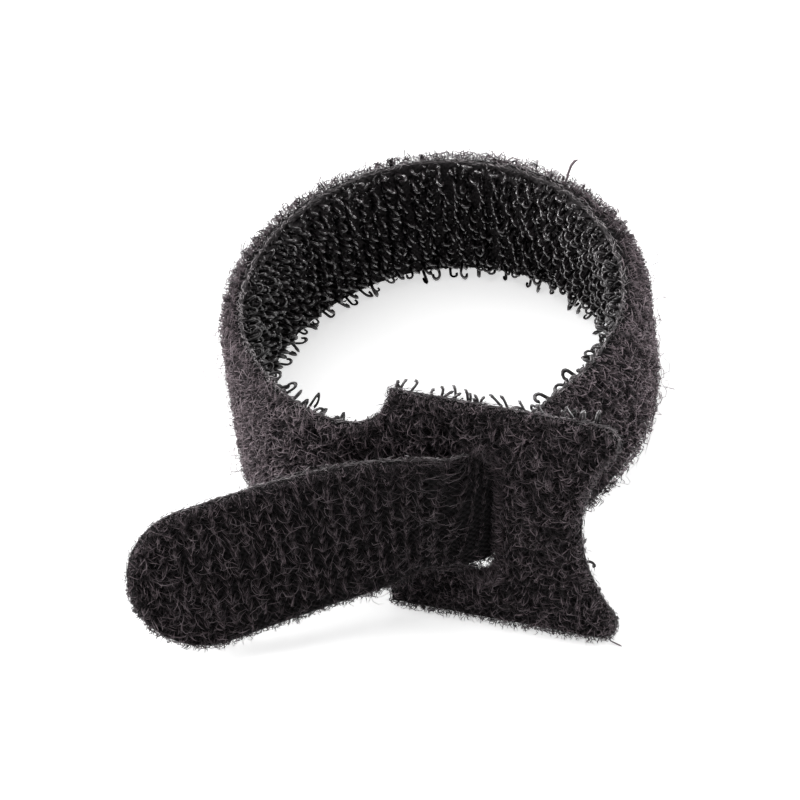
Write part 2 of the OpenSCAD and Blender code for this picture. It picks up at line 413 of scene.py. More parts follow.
def weave_group():
    """Ground weave in the cut's own length and width: colour, roughness and height."""
    if "Ground Weave" in bpy.data.node_groups:
        return bpy.data.node_groups["Ground Weave"]
    threads = {"Thread": (0.02, 0.019, 0.02, 1), "Gap": (0.003, 0.003, 0.003, 1)}
    tree, source = start_group("Ground Weave", {**threads, "Edge": (0.25, 0.24, 0.25, 1), "Pitch": 0.6})
    cut = add_node(tree, "UVMap", uv_map="cut")["UV"]
    split = add_node(tree, "SeparateXYZ", {0: cut})
    waves = []
    for axis, phase in (("X", 0.0), ("Y", math.pi / 2)):
        turns = add_maths(tree, "DIVIDE", split[axis], source["Pitch"])
        waves.append(add_maths(tree, "SINE", add_maths(tree, "MULTIPLY_ADD", turns, 2 * math.pi, phase)))
    cross = add_maths(tree, "MULTIPLY_ADD", *waves, 0.5)
    fuzz = add_node(tree, "TexNoise", {"Vector": cut, "Scale": 6.0, "Detail": 6.0, "Roughness": 0.7})
    height = add_maths(tree, "MULTIPLY_ADD", cross, 0.45, fuzz["Fac"])
    spread = add_range(tree, height, 0.0, 1.0, 0.35, 0.95)
    # The pale cut edge, and painted light on the hooks' ground
    rim = add_node(tree, "Attribute", attribute_name="rim")["Fac"]
    colour = add_mix(tree, rim, add_mix(tree, spread, source["Gap"], source["Thread"]), source["Edge"])
    roughness = add_range(tree, spread, 0.85, 0.6)
    return finish_group(tree, {"Color": colour, "Roughness": roughness, "Height": height})


def finish(name):
    """One of the tie's finishes, made when it is first needed: a shared effect, its colours and the rest."""
    if name in bpy.data.materials:
        return bpy.data.materials[name]
    look = bpy.context.scene.cable_tie
    pile, deep, edge = look.pile_light_colour, look.pile_deep_colour, look.edge_colour
    # Stray hairs and loose threads get a lighter copy of the pile's colour: painted light
    hair = [1.15 * c for c in pile]
    felt = {"Sheen Roughness": 0.4, "Sheen Tint": (1.0, 0.92, 0.96, 1)}
    glossy = {"Roughness": 0.5, "Coat IOR": 2.3, "Coat Roughness": 0.25}
    group, colours, specular, values = {
        "ground tape": (weave_group, (look.ground_colour, (0.003, 0.003, 0.0032), edge), 0.08, {}),
        "hook filament": (fibre_tint_group, ((0.004, 0.004, 0.004), look.hook_colour), 0.2, glossy),
        "brushed pile": (fibre_tint_group, (deep, pile), 0.14, {"Sheen Weight": 0.1, **felt}),
        "stray hair": (fibre_tint_group, (deep, hair), 0.25, {"Sheen Weight": 0.3, **felt}),
        "edge thread": (fibre_tint_group, ((0.03, 0.029, 0.03), edge), 0.5, {"Sheen Weight": 0.2, **felt}),
    }[name]
    mat = bpy.data.materials.new(name)
    mat.use_nodes = True
    tree = mat.node_tree
    tree.nodes.clear()
    colours = {i: (*colour, 1) for i, colour in enumerate(colours)}
    if name == "hook filament":
        colours["Drift Scale"] = 300.0
    effect = add_node(tree, "Group", colours, node_tree=group())
    inputs = {"Base Color": effect["Color"], "Roughness": effect["Roughness"], "Specular IOR Level": specular}
    if name == "ground tape":
        relief = {"Strength": 0.9, "Distance": 0.15 * MM, "Height": effect["Height"]}
        inputs["Normal"] = add_node(tree, "Bump", relief)["Normal"]
    # The hooks' coat follows their shade, so their stems, in painted shade, shine least
    if name == "hook filament":
        inputs["Coat Weight"] = effect["Gloss"]
    shader = add_node(tree, "BsdfPrincipled", {**inputs, **values})
    add_node(tree, "OutputMaterial", {"Surface": shader["BSDF"]})
    return mat


def new_piece(name, finish_name, verts, faces_by_size, shade=None):
    """A mesh object from points in millimetres; faces_by_size lists arrays of equal-sided faces."""
    mesh = bpy.data.meshes.new(name)
    verts = (np.asarray(verts, np.float32) * MM).tolist()
    mesh.from_pydata(verts, [], [face for some in faces_by_size for face in some.tolist()], shade_flat=False)
    if shade is not None:
        layer = mesh.attributes.new("shade", "FLOAT", "POINT")
        layer.data.foreach_set("value", np.asarray(shade, np.float32))
    mesh.materials.append(finish(finish_name))
    obj = bpy.data.objects.new(name, mesh)
    bpy.context.scene.collection.objects.link(obj)
    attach(obj, "root")
    return obj


def keep_above_floor(points):
    points[..., 2] = np.maximum(points[..., 2], FLOOR_REST)
    return points


def thread_set(paths, u, width, profile, shade, painted_depth_shade=None, sides=3):
    """Pointed threads with their roots at u: paths is (threads, points, 3), with a half width and a shade for
    each thread. The profile is the share of its width at each of its points. The painted depth shade is the
    share of its shade there: painted shade, darker where it lies deep in the cloth."""
    paths = keep_above_floor(paths)
    count, points, _ = paths.shape
    radii = np.outer(width * np.ones(count), profile)
    tangent = unit(np.gradient(paths, axis=1))
    side = unit(np.cross(tangent, ROUTE.outward(u)[:, None, :]) + 1e-6)
    other = np.cross(tangent, side)
    inner, rows = slice(1, points - 1), points - 2
    turn = np.arange(sides)[:, None] * 2 * math.pi / sides
    round_it = np.cos(turn) * side[:, inner, None, :] + np.sin(turn) * other[:, inner, None, :]
    ring = paths[:, inner, None, :] + radii[:, inner, None, None] * round_it
    per = rows * sides + 2
    verts = np.empty((count, per, 3))
    verts[:, :-2] = ring.reshape(count, -1, 3)
    verts[:, -2:] = paths[:, [0, -1]]
    j = np.arange(sides)
    nxt = (j + 1) % sides
    quads = [np.stack([j, nxt, nxt + sides, j + sides], -1) + r * sides for r in range(rows - 1)]
    quads = np.concatenate([np.empty((0, 4), int), *quads])
    root, tip, last = np.full(sides, per - 2), np.full(sides, per - 1), (rows - 1) * sides
    tris = np.concatenate([np.stack([root, nxt, j], -1), np.stack([last + j, last + nxt, tip], -1)])
    base = (np.arange(count) * per)[:, None, None]
    painted_depth_shade = np.ones(points) if painted_depth_shade is None else np.asarray(painted_depth_shade, float)
    along = np.concatenate([np.repeat(painted_depth_shade[inner], sides), painted_depth_shade[:1], painted_depth_shade[-1:]])
    faces = (base + quads).reshape(-1, 4), (base + tris).reshape(-1, 3)
    return verts.reshape(-1, 3), faces, np.outer(shade, along).ravel()


def thread_piece(name, finish_name, *sets):
    """One piece of one or more sets of threads."""
    faces, start = [], 0
    for verts, own, _ in sets:
        faces += [f + start for f in own if f.size]
        start += len(verts)
    verts, tones = (np.concatenate([s[i] for s in sets]) for i in (0, 2))
    return new_piece(name, finish_name, verts, faces, tones)


def bed_depth(u):
    """Height of the pile's bed over the tape's middle, deeper round the loop."""
    at = [0, PLATE_L - 2, PLATE_L + 6, MARK["run"] + 8, MARK["through"] - 4]
    return np.interp(u, at, [BED_Z, BED_Z, BED_LOOP_Z, BED_LOOP_Z, BED_Z])


def ground_z(u):
    """Height of the hooks' ground over the tape's middle: out at the loop's back, in at its right."""
    at = [PLATE_L, PLATE_L + 14, 55, 67, 80, 90, MARK["run"] + 7, MARK["through"] - 4]
    return np.interp(u, at, [GROUND_Z, -0.15, 0.05, 0.2, -0.1, -0.45, -0.45, GROUND_Z])


def bed_share(u, v):
    """None of the pile's bed at the cut edge, all of it a little way in."""
    return np.clip(edge_distance(u, v) / BED_ROUND, 0, 1)


def bed_height(u, v):
    seam_z = ground_z(u) + SEAM
    return seam_z + (bed_depth(u) - seam_z) * np.sqrt(1 - (1 - bed_share(u, v)) ** 2)


def build_tape(settings):
    """The die-cut tape: pile bed outside, hook ground inside, and a rounded, lighter cut edge."""
    loops = [blank_outline(TAPE_STEP), slot_outline(TAPE_STEP)]
    u = np.arange(TAPE_STEP / 2, ROUTE.length, TAPE_STEP)
    v = np.arange(-HEAD_HALF, HEAD_HALF, TAPE_STEP)
    grid = np.stack(np.meshgrid(u, v, indexing="ij"), -1).reshape(-1, 2)
    grid = grid[edge_distance(*grid.T) > 0.6 * TAPE_STEP]
    edges, start = [], 0
    for loop in loops:
        n = len(loop)
        edges += [(start + i, start + (i + 1) % n) for i in range(n)]
        start += n
    flat = [Vector(p) for p in np.concatenate([*loops, grid])]
    points, _, faces, _, _, _ = delaunay_2d_cdt(flat, edges, [], 1, 1e-6)
    points = np.array([tuple(p) for p in points])
    faces = np.array([f for f in faces])
    faces = faces[slot_distance(*points[faces].mean(1).T) >= 0]
    u, v = points.T
    wale = np.abs(np.sin(np.pi * u / (settings.wale_pitch / MM)))
    lumps = 0.16 * wale * np.abs(np.sin(np.pi * v / 1.3 + 2.0 * np.sin(u))) - 0.08
    top = ROUTE.place(u, v, bed_height(u, v) + lumps * bed_share(u, v))
    low = ROUTE.place(u, v, ground_z(u))
    n = len(points)
    ways = dict.fromkeys((f[i], f[i - 2]) for f in faces.tolist() for i in range(3))
    walls = np.array([(a, a + n, b + n, b) for a, b in ways if (b, a) not in ways])
    # The flat cut's faces turn away from the pile side, so the pile side is wound the other way
    sets = [faces[:, ::-1], faces + n, walls]
    tape = new_piece("tape", "ground tape", np.concatenate([top, low]), sets)
    cut = points[np.concatenate([corners.ravel() for corners in sets]) % n]
    # The cut walls are palest and the pile side stays dark; the hooks' ground gets painted light, most at the
    # loop's back
    pale = np.interp(cut[:, 0], [40, 50, 60, 85, 95], [0.06, 0.07, 0.14, 0.14, 0.1])
    pale[: faces.size] = 0
    pale[-walls.size :] = 0.14
    rim = tape.data.attributes.new("rim", "FLOAT", "CORNER")
    rim.data.foreach_set("value", pale.astype(np.float32))
    tape.data.uv_layers.new(name="cut").data.foreach_set("uv", cut.astype(np.float32).ravel())
    bpy.ops.object.select_all(action="DESELECT")
    tape.select_set(True)
    bpy.context.view_layer.objects.active = tape
    bpy.ops.object.shade_smooth_by_angle(angle=rad(50))
    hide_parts("strap")
    return tape


def in_head(points):
    """Which places lie inside the head's cloth, for threads of the tail that would pass into it."""
    rel = points - ROUTE.p[0]
    u, v, z = rel @ ROUTE.t[0], rel @ ROUTE.w[0], -(rel @ ROUTE.d[0])
    return (u > -0.5) & (u < PLATE_L) & (edge_distance(u, v) > -0.1) & (z < BED_Z) & (z > GROUND_Z)


def in_strap(points, u_from, u_to):
    """Which places lie inside the strap's cloth between two places along it."""
    pick = np.where((ROUTE.s >= u_from) & (ROUTE.s <= u_to))[0][::6]
    inside = np.zeros(len(points), bool)
    for chunk in np.array_split(np.arange(len(points)), max(1, len(points) // 4000)):
        rel = points[chunk][:, None, :] - ROUTE.p[pick][None]
        near = np.argmin((rel**2).sum(-1), 1)
        r, at = rel[np.arange(len(chunk)), near], pick[near]
        along, v, z = (r * ROUTE.t[at]).sum(-1), (r * ROUTE.w[at]).sum(-1), -(r * ROUTE.d[at]).sum(-1)
        hold = ROUTE.gather[at]
        across_it = (v < HALF_W - TOP_GATHER * hold) & (v > SLOT_GATHER * hold - HALF_W)
        inside[chunk] = (np.abs(along) < 0.6) & across_it & (z < BED_Z) & (z > GROUND_Z)
    return inside


def clear_of_cloth(paths, u):
    """Which threads don't pass into the cloth of another stretch."""
    tips = paths[:, [paths.shape[1] // 2, -1]].reshape(-1, 3)
    into_head = in_head(tips).reshape(-1, 2).any(1)
    into_late = in_strap(tips, MARK["run"] + 10, ROUTE.length).reshape(-1, 2).any(1)
    return ~((u > MARK["run"]) & into_head | (u < PLATE_L) & into_late)


def only_clear(paths, u, also=False):
    keep = clear_of_cloth(paths, u) | also
    return paths[keep], u[keep]


def arched_threads(u, v, angle, length, height, curl, end_drop, sunk, points):
    """Threads that rise from the cloth, arch over it along a direction and dip again."""
    shared = (u, v, angle, length, height, curl, end_drop)
    u, v, angle, length, height, curl, end_drop = (column[:, None] for column in shared)
    k = np.linspace(0, 1, points)
    turn = angle + curl * (k - 0.3)
    step = length / (points - 1)
    du, dv = (np.cumsum(part(turn) * step, 1) - part(turn[:, :1]) * step for part in (np.cos, np.sin))
    arch = 1 - np.abs(2 * k**0.75 - 1) ** 2.2
    z = bed_height(u, v) - sunk + height * (arch + (1 - end_drop) * k * (1 - arch))
    return ROUTE.place(u + du, v + dv, z)


def slot_room(u, v):
    """Distance from the slot's edge on the head, or from where the strap passes through it."""
    return np.where(u < PLATE_L, slot_distance(u, v), np.abs(u - MARK["through"]) - 1.6)


def pile_stand(u, v):
    """How tall the pile stands: deepest round the loop, short on head and tail, pressed flat at the slot."""
    run, through, tail = MARK["run"], MARK["through"], MARK["tail"]
    at = [0, PLATE_L - 3, PLATE_L + 5, 50, 67, 82, run, through - 4, tail, ROUTE.length]
    stand = np.interp(u, at, [0.55, 0.6, 1.15, 1.15, 0.8, 1.1, 1.2, 0.6, 0.42, 0.45])
    return stand * np.clip(0.35 + slot_room(u, v) / 1.4, 0.35, 1)


def pile_painted_light(u):
    """Painted light and shade on the pile: painted shade where the strap passes the slot and along the tail,
    lighter again towards the tail's tip, and painted light round the loop, where it is lightest.
    """
    run, through, tail = MARK["run"], MARK["through"], MARK["tail"]
    at = [PLATE_L - 4, PLATE_L + 4, run + 6, through - 7, through - 4, tail, tail + 6, TIP_U - 3, TIP_U + 4]
    return np.interp(u, at, [0.86, 1.36, 1.36, 0.8, 0.32, 0.32, 0.62, 0.68, 1.0])


def tuft_places(settings, rng, u_from, u_to, skew):
    """Tufts in rows, where both of a pair start near the wale's middle; odd tells the two apart."""
    pitch_u, pitch_v = settings.wale_pitch / MM / 2, settings.tuft_pitch / MM
    iu = np.arange(int(u_from / pitch_u) - 3, int(u_to / pitch_u) + 4)
    iv = np.arange(int(-HEAD_HALF / pitch_v) - 1, int(HEAD_HALF / pitch_v) + 2)
    iu, iv = (i.ravel() for i in np.meshgrid(iu, iv, indexing="ij"))
    odd = iu % 2
    u = (iu + 0.5 + np.where(odd, -0.28, 0.28)) * pitch_u + rng.normal(0, 0.05, len(iu))
    row_shift = 0.35 * np.sin(2.1 * (iu // 2)) + 0.18 * odd
    v = (iv + row_shift) * pitch_v + rng.normal(0, 0.09, len(iu))
    u = u - skew * v
    keep = (u >= u_from) & (u < u_to) & (edge_distance(u, v) > 0.08)
    return u[keep], v[keep], odd[keep]


def build_pile(settings, name, u_from, u_to, order, density, skew, seed):
    """Brushed pile of one stretch: tufts set in slanting pairs like stitches, felted where order is low."""
    rng = np.random.RandomState(seed)
    tuft_u, tuft_v, odd = tuft_places(settings, rng, u_from, u_to, skew)
    tufts = len(tuft_u)
    end_of_tail = np.clip((ROUTE.length - tuft_u) / 7, 0.3, 1)
    tidy = order * np.clip(edge_distance(tuft_u, tuft_v) / 1.6, 0.3, 1) * end_of_tail
    # Felting comes in patches
    patch = 0.5 + 0.5 * np.sin(0.9 * tuft_u + 1.3 * np.sin(0.7 * tuft_v)) * np.sin(0.8 * tuft_v + 0.6)
    loose = rng.uniform(0, 1, tufts) > tidy * (0.75 + 0.4 * patch)
    slant = np.where(odd, 1.0, -1.0) * (rad(21) + rng.normal(0, 0.1, tufts))
    angle = np.where(loose, rng.uniform(-math.pi, math.pi, tufts), math.pi / 2 + slant + skew)

    # The threads of each tuft
    per = int(round(settings.threads_per_tuft * density))
    n = tufts * per
    spread = np.repeat(np.where(loose, 1.8, 0.13), per)
    scatter = np.repeat(np.where(loose, 0.42, 0.085), per)
    u = np.repeat(tuft_u, per) + rng.normal(0, 1, n) * scatter
    v = np.repeat(tuft_v, per) + rng.normal(0, 1.2, n) * scatter
    angle = np.repeat(angle, per) + rng.normal(0, 1, n) * spread
    tone = np.repeat(rng.uniform(0.72, 1.15, tufts), per)
    loose = np.repeat(loose, per)
    flat = on_flat(u)
    inside = edge_distance(u, v)
    length = rng.uniform(0.75, 1.3, n) * np.where(loose, 1.15, 1.0)
    length *= np.where(flat, np.clip(0.4 + inside / 1.5, 0.4, 1), 1.0)
    length *= np.where(flat & ~loose, 1.2, 1.0)
    lift = rng.uniform(0, 1, n)
    height = (0.25 + 0.75 * lift) * pile_stand(u, v)
    curl = rng.normal(0, 1, n) * np.where(loose, np.where(flat, 0.7, 1.1), 0.15)
    drop = rng.uniform(0.2, 0.8, n)
    width = settings.thread_width / MM / 2 * rng.uniform(0.75, 1.25, n) * np.where(flat, 0.82, 1.0)
    # Painted shade: low threads are darker than high ones, and ordered ones darker towards the gaps between
    # wales; the loop's threads get painted light
    shade = np.clip(tone * rng.beta(1.1, 2.1, n) * 1.6 * (0.12 + 1.2 * lift**1.5), 0.02, 1.5)
    middle = u + skew * v + 0.6 * length * (np.cos(angle) + skew * np.sin(angle))
    column = np.sin(np.pi * middle / (settings.wale_pitch / MM)) ** 2
    shade = np.where(flat, 1.3, 1.65) * shade**1.7
    shade *= pile_painted_light(u) * np.where(loose, 1.0, 0.15 + 1.15 * column)
    bowed = rng.uniform(0, 1, n) < np.where(loose, 0.4, 0.15)
    sets = []
    # Each row ends with the threads' painted shade along them, darkest at the root
    for some, profile, painted_depth_shade in (
        (bowed, (0.5, 1.0, 1.0, 0.3), (0, 0.55, 0.9, 1.0)),
        (~bowed, (0.5, 1.0, 0.3), (0, 0.7, 1.0)),
    ):
        some = some & (inside > 0.02)
        root, way = (u[some], v[some], angle[some]), (curl[some], drop[some], 0.22, len(profile))
        paths = arched_threads(*root, length[some], height[some] + 0.15, *way)
        clear = clear_of_cloth(paths, u[some])
        # Where the strap is in the way, a thread lies pressed short beside it
        pressed = arched_threads(*root, 0.35 * length[some], 0.2 * height[some] + 0.15, *way)
        paths = np.where(clear[:, None, None], paths, pressed)
        clear |= clear_of_cloth(pressed, u[some])
        painted_depth_shade = settings.root_painted_shade + np.array(painted_depth_shade) * (1 - settings.root_painted_shade)
        u_set, w_set, shade_set = (column[some][clear] for column in (u, width, shade))
        sets.append(thread_set(paths[clear], u_set, w_set, profile, shade_set, painted_depth_shade))
    return thread_piece(name, "brushed pile", *sets)


def hair_piece(settings, rng, name, finish_name, roots, shape, shade, also=False, flat_width=1.0):
    """Hairs from their roots: place, direction, length and height. Their shape is the spread of their curl,
    the range of their drop, the depth of their roots, their profile and the range of their width. Shade makes
    a hair's shade of a draw and its place."""
    u, (curl, drop, sunk, profile, width) = roots[0], shape
    curl, drop = rng.normal(0, curl, len(u)), rng.uniform(*drop, len(u))
    paths, u = only_clear(arched_threads(*roots, curl, drop, sunk, len(profile)), u, also)
    width = settings.thread_width / MM / 2 * rng.uniform(*width, len(u))
    width *= np.where(on_flat(u), flat_width, 1.0)
    shade = shade(rng.uniform(0, 1, len(u)), u)
    return thread_piece(name, finish_name, thread_set(paths, u, width, profile, shade))


def build_strays(settings):
    """Longer stray hairs that wander over the pile and soften its outline."""
    rng = np.random.RandomState(41)
    count = settings.stray_count
    u = rng.uniform(0, ROUTE.length, count * 2)
    v = rng.uniform(-1, 1, count * 2) * np.where(u < PLATE_L, HEAD_HALF, HALF_W)
    on = (edge_distance(u, v) > np.where(on_loop(u), 0.05, 0.8)) & (slot_room(u, v) > 0.5)
    on &= on_loop(u) | (rng.uniform(0, 1, len(u)) < 0.5)
    u, v = u[on][:count], v[on][:count]
    n = len(u)
    angle = rng.uniform(-math.pi, math.pi, n)
    length = rng.uniform(1.0, 2.6, n) * np.where(on_loop(u), 1.2, 0.9)
    height = (rng.gamma(2.2, 0.17, n) + 0.35) * (0.35 + 0.75 * pile_stand(u, v)) + 0.2
    roots = (u, v, angle, length, height)

    # Painted light and shade from the pile, and painted shade on the head and tail
    def shade(draw, u):
        return (0.3 + 0.9 * draw) * np.minimum(pile_painted_light(u), 1) * np.where(on_flat(u), 0.75, 1.0)

    shape = (2.2, (0.0, 0.8), 0.2, LONG_HAIR, (0.6, 0.9))
    return hair_piece(settings, rng, "pile_strays", "stray hair", roots, shape, shade, flat_width=0.8)


def outline_walk(step, times):
    """Places along the cut edge, each so many times, with its direction and the way out of the cloth."""
    rows = []
    for loop in (blank_outline(step), slot_outline(step)):
        way = unit(np.roll(loop, -1, 0) - np.roll(loop, 1, 0))
        out = np.stack([way[:, 1], -way[:, 0]], -1)
        ahead, behind = (edge_distance(*(loop + side * out).T) for side in (0.2, -0.2))
        rows.append((loop, way, np.where((ahead < behind)[:, None], out, -out)))
    return [np.repeat(np.concatenate(column), times, 0) for column in zip(*rows)]


def seam_painted_light(u, v):
    """Painted light on the seam: most where the loop's front left edge faces up; darker on the lower edge."""
    upper = np.interp(u, [20, 30, 50, 58, 95, 110, 125, 132], [1, 2.6, 2.6, 1.5, 1.5, 1, 1, 1.7])
    return np.where(v > 0, upper, 0.7)


def build_edge(settings):
    """Cut ends along the seam between pile and hook ground: short pale threads lying along the edge."""
    rng = np.random.RandomState(53)
    spot, way, out = outline_walk(0.22, settings.edge_threads)
    n = len(spot)
    spot = spot + rng.normal(0, 0.06, (n, 2))
    reach = rng.uniform(0.25, 0.9, n)[:, None] * np.linspace(-0.5, 0.5, 4)
    sway = rng.normal(0, 0.07, (n, 4)).cumsum(1)
    rise = rng.normal(0, 0.08, (n, 4)).cumsum(1) + rng.normal(0, 0.35, n)[:, None] * reach
    z = (ground_z(spot[:, 0]) + rng.uniform(0, SEAM + 0.1, n))[:, None] + rise
    push = rng.uniform(-0.06, 0.1, n)[:, None] + sway
    flat = spot[:, None] + way[:, None] * reach[..., None] + out[:, None] * push[..., None]
    paths = ROUTE.place(flat[..., 0], flat[..., 1], z)
    width = rng.uniform(0.02, 0.036, n)
    # The seam's threads carry painted light, most on the loop's front left
    shade = 0.04 + 1.6 * rng.uniform(0, 1, n) ** 3 * seam_painted_light(*spot.T)
    threads = thread_set(paths, spot[:, 0], width, CUT_THREAD, shade)
    return thread_piece("edge_threads", "edge thread", threads)


def build_edge_fringe(settings):
    """Pile hairs that lean out over the cut edge."""
    rng = np.random.RandomState(67)
    spot, _, out = outline_walk(0.16, settings.fringe_threads)
    n = len(spot)
    inset = 0.02 + 0.6 * rng.uniform(0, 1, n) ** 1.6
    u, v = (spot - out * inset[:, None] + rng.normal(0, 0.05, (n, 2))).T
    angle = np.arctan2(out[:, 1], out[:, 0]) + rng.normal(0, 0.95, n)
    stand = pile_stand(u, v)
    round_loop = (u > PLATE_L) & (u < MARK["run"] + 8)
    in_slot = (u > MARK["through"] - 4) & (u < MARK["tail"] + 2)
    reach = np.where(round_loop, 0.25 + 0.75 * stand, np.where(in_slot, 0.95, 0.36))
    length = rng.uniform(0.45, 1.2, n) * reach
    height = rng.uniform(0.15, 0.9, n) * stand
    roots = (u, v, angle, length, height)

    # Painted light and shade from the pile
    def shade(draw, u):
        return (0.15 + 1.05 * draw) * np.minimum(pile_painted_light(u), 1)

    shape = (1.1, (0.1, 1.1), 0.15, HAIR, (0.65, 1.0))
    return hair_piece(settings, rng, "pile_fringe", "brushed pile", roots, shape, shade)


def build_slot_fringe(settings):
    """Pile that leans over the slot's edge, most at its ends."""
    rng = np.random.RandomState(71)
    end = SLOT_L / 2
    loop = slot_outline(0.1)
    u, v = loop.T
    low_side = (u < SLOT_FROM_EARS) & (v < 2.6 - end)
    crowds = ((v == v, 6), (v > end - 1.2, 9), (v < 0.5 - end, 20), (low_side, 12))
    spot = np.concatenate([np.repeat(loop[some], times, 0) for some, times in crowds])
    n = len(spot)
    middle = np.array([SLOT_FROM_EARS, 0.0])
    core = np.clip(spot - middle, [-0.2, 1.5 - end], [0.2, end - 1.5]) + middle
    into = unit(core - spot)
    u, v = (spot - into * rng.uniform(0.02, 0.7, n)[:, None] + rng.normal(0, 0.05, (n, 2))).T
    at_top = v > end - 1.6
    along_edge = rng.choice([-0.8, 0.8], n) + rng.normal(0, 0.3, n)
    turn = np.where(v < 1.5 - end, along_edge, rng.normal(0, 0.55, n))
    angle = np.arctan2(into[:, 1], into[:, 0]) + turn
    length = rng.uniform(0.6, 1.25, n) * np.where(at_top, 1.5, np.where(np.abs(v) > end - 1, 1.4, 0.9))
    length *= np.where((u < SLOT_FROM_EARS) & (v < 2.4 - end), 1.3, 1.0)
    height = rng.uniform(0.05, 0.45, n)
    roots = (u, v, angle, length, height)

    def shade(draw, u):
        return 0.03 + 0.75 * draw**2

    shape = (0.8, (0.6, 1.6), 0.15, HAIR, (0.8, 1.15))
    return hair_piece(settings, rng, "slot_fringe", "brushed pile", roots, shape, shade, at_top)


def build_loose_threads(settings):
    """Ends that have pulled free: one at the loop's back and at the lower ear, stubs round the tail's end."""
    # Where each starts on the cut, its half width, and its steps from there along, across and up
    back = (0, 0, 0.6), (-0.1, 0.9, 1.1), (0, 1.7, 1.5), (0.3, 2.3, 1.7), (0.8, 2.8, 1.7)
    ear = (0, 0, 0), (-0.3, -0.35, 0.1), (-0.75, -0.6, 0.1), (-1.15, -1, 0.1), (-1.4, -1.35, 0.1)
    side = (0, 0, 0.2), (0, 0.3, 0.3), (0.05, 0.55, 0.4), (0.1, 0.8, 0.5), (0.2, 0.95, 0.6)
    corner = (0, 0, 0.2), (0.1, 0.2, 0.3), (0.2, 0.4, 0.35), (0.25, 0.6, 0.45), (0.25, 0.8, 0.5)
    tip = (-0.2, 0, 0.1), (-0.1, 0.05, 0.2), (0, 0.1, 0.3), (0.15, 0.15, 0.4), (0.3, 0.2, 0.45)
    head = (0, 0, 0.2), (0.8, -0.1, 0.5), (1.6, -0.3, 0.6), (2.4, -0.3, 0.5), (3.2, -0.6, 0.3)
    strands = (
        (80.6, HALF_W - 0.1, 0.13, *back),
        (0.8, 0.3 - HEAD_HALF, 0.07, *ear),
        (143.6, 5.3, 0.09, *side),
        (145.6, 4.6, 0.08, *corner),
        (148.9, 1.3, 0.08, *tip),
        (9.5, -5.6, 0.05, *head),
    )
    u, v, width = (np.array([s[i] for s in strands]) for i in range(3))
    steps = np.array([s[3:] for s in strands])
    paths = ROUTE.place(u[:, None] + steps[..., 0], v[:, None] + steps[..., 1], steps[..., 2])
    threads = thread_set(paths, u, width, (0.8, 1, 1, 1, 0.8), np.full(len(u), 0.7), sides=6)
    return thread_piece("loose_threads", "stray hair", threads)


def model_hook(settings):
    """One hook, modelled upright at the origin: a round stem that curls over."""
    sides, curl_steps, curl_angle = 4, 7, rad(215)
    rise, curl_r = settings.hook_height * 0.6, settings.hook_height * 0.2
    bpy.ops.object.select_all(action="DESELECT")
    bpy.ops.mesh.primitive_circle_add(
        vertices=sides, radius=settings.hook_wire / 2, fill_type="NGON", location=(0, 0, 0)
    )
    hook = bpy.context.active_object
    bpy.ops.object.mode_set(mode="EDIT")
    bpy.ops.mesh.select_all(action="SELECT")
    bpy.ops.mesh.extrude_region_move(TRANSFORM_OT_translate={"value": (0, 0, rise)})
    for _ in range(curl_steps):
        bpy.ops.mesh.extrude_region_move(TRANSFORM_OT_translate={"value": (0, 0, 0)})
        bpy.ops.transform.rotate(
            value=-curl_angle / curl_steps, orient_axis="Y", center_override=(curl_r, 0, rise)
        )
    bpy.ops.mesh.select_all(action="SELECT")
    bpy.ops.mesh.normals_make_consistent(inside=False)
    bpy.ops.object.mode_set(mode="OBJECT")
    return hook


def shape_of(obj):
    """A modelled piece's points in millimetres, and its faces in sets of equal sides."""
    points = np.array([vertex.co[:] for vertex in obj.data.vertices]) / MM
    sets = {}
    for face in obj.data.polygons:
        sets.setdefault(len(face.vertices), []).append(face.vertices[:])
    return points, [np.array(faces) for faces in sets.values()]


def hook_places(settings, rng):
    """Hooks stand in rows across the tape."""
    pitch_u, pitch_v = settings.hook_row / MM, settings.hook_pitch / MM
    rows, columns = np.arange(0, int(ROUTE.length / pitch_u) + 1), np.arange(-12, 13)
    row, column = (i.ravel() for i in np.meshgrid(rows, columns, indexing="ij"))
    u = (row + 0.5) * pitch_u + rng.normal(0, 0.07, len(row))
    v = (column + 0.25 * (row % 2)) * pitch_v + rng.normal(0, 0.07, len(row))
    keep = edge_distance(u, v) > np.where((u > MARK["tail"] - 3) & (v > 0), 0.5, 0.06)
    return u[keep], v[keep], row[keep], column[keep]


